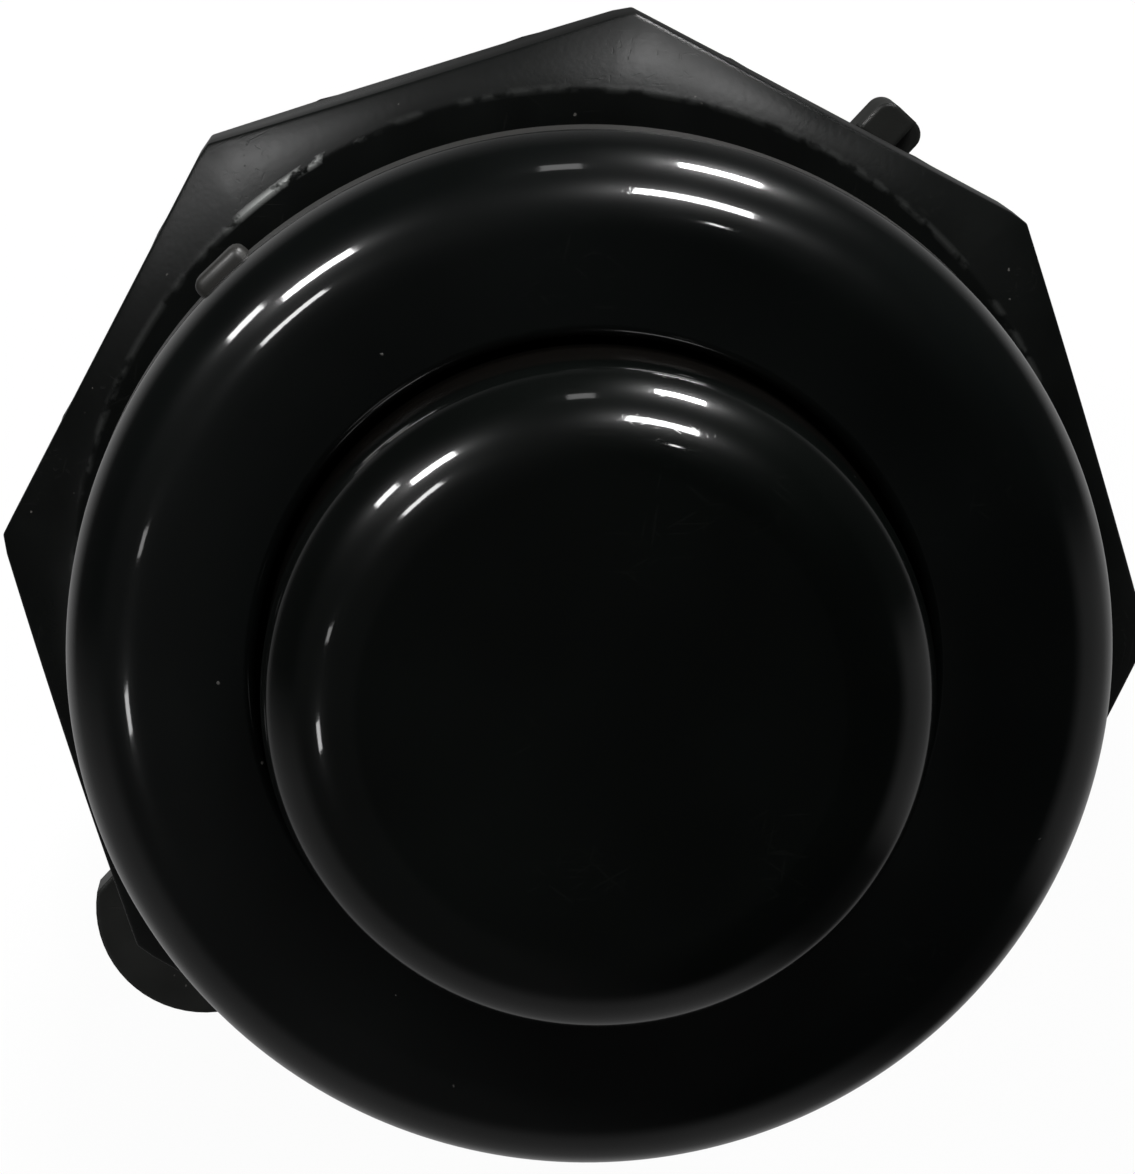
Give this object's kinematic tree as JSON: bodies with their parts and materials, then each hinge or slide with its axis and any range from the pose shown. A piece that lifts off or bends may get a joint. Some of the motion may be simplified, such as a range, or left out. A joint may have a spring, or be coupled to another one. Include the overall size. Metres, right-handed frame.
{
  "type": "panel pushbutton switch",
  "caption": "Round gloss black panel pushbutton with a flat-topped plunger, an octagonal panel nut and a snap-action switch on its rear end.",
  "frame": {"origin": "on the plunger's axis at the rear face of the bezel's flange, where the panel seats", "axes": "+Z out of the panel towards the finger, +X along the snap-action switch towards its contact end"},
  "size_m": [0.0429, 0.0388, 0.0599],
  "materials": {
    "bezel_gloss": "moulded, high gloss",
    "plunger_gloss": "moulded, high gloss",
    "nut_nylon": "moulded, satin",
    "holder_plastic": "moulded, satin",
    "case_plastic": "moulded, fine grain",
    "pin_plastic": "moulded, smooth",
    "spring_steel": "drawn wire",
    "eyelet_brass": "plain",
    "arm_copper": "rolled",
    "contact_silver": "plain silver",
    "tinned_brass": "tin plated"
  },
  "bodies": {
    "housing": {"bezel": "bezel_gloss", "return_spring": "spring_steel", "panel_nut": "nut_nylon", "switch_holder": "holder_plastic", "switch_case": "case_plastic", "switch_cover": "case_plastic", "cover_eyelets": "eyelet_brass", "com_terminal": "tinned_brass", "spring_anchor": "eyelet_brass", "anchor_rivet": "eyelet_brass", "no_terminal": "tinned_brass", "nc_terminal": "tinned_brass", "nc_contact": "contact_silver", "no_contact": "contact_silver"},
    "plunger": {"plunger": "plunger_gloss", "stem_clip": "spring_steel"},
    "pin": {"actuator_pin": "pin_plastic"},
    "arm": {"contact_arm": "arm_copper", "moving_contact": "contact_silver"},
    "tension": {"tension_spring": "spring_steel"}
  },
  "joints": [
    {"name": "press", "type": "slide", "parent": "housing", "child": "plunger", "axis": [0, 0, -1], "range_m": [0, 0.002], "stiffness_N_per_m": 250, "springref_m": -0.0025, "deforming": ["return_spring"]},
    {"name": "pin_press", "type": "slide", "parent": "housing", "child": "pin", "axis": [0, 0, -1], "range_m": [0, 0.002]},
    {"name": "arm_tilt", "type": "hinge", "parent": "pin", "child": "arm", "pos_m": [0, 0, -0.0284], "axis": [0, -1, 0], "range_deg": [0, 6.79]},
    {"name": "tension_tilt", "type": "hinge", "parent": "housing", "child": "tension", "pos_m": [-0.0045, 0, -0.0296], "axis": [0, 1, 0], "range_deg": [0, 4.81]}
  ],
  "couplings": [
    {"joint": "pin_press", "follows": "press", "ratio": 1},
    {"joint": "arm_tilt", "follows": "press", "rad_per_m": 59.227},
    {"joint": "tension_tilt", "follows": "press", "rad_per_m": 41.949}
  ]
}
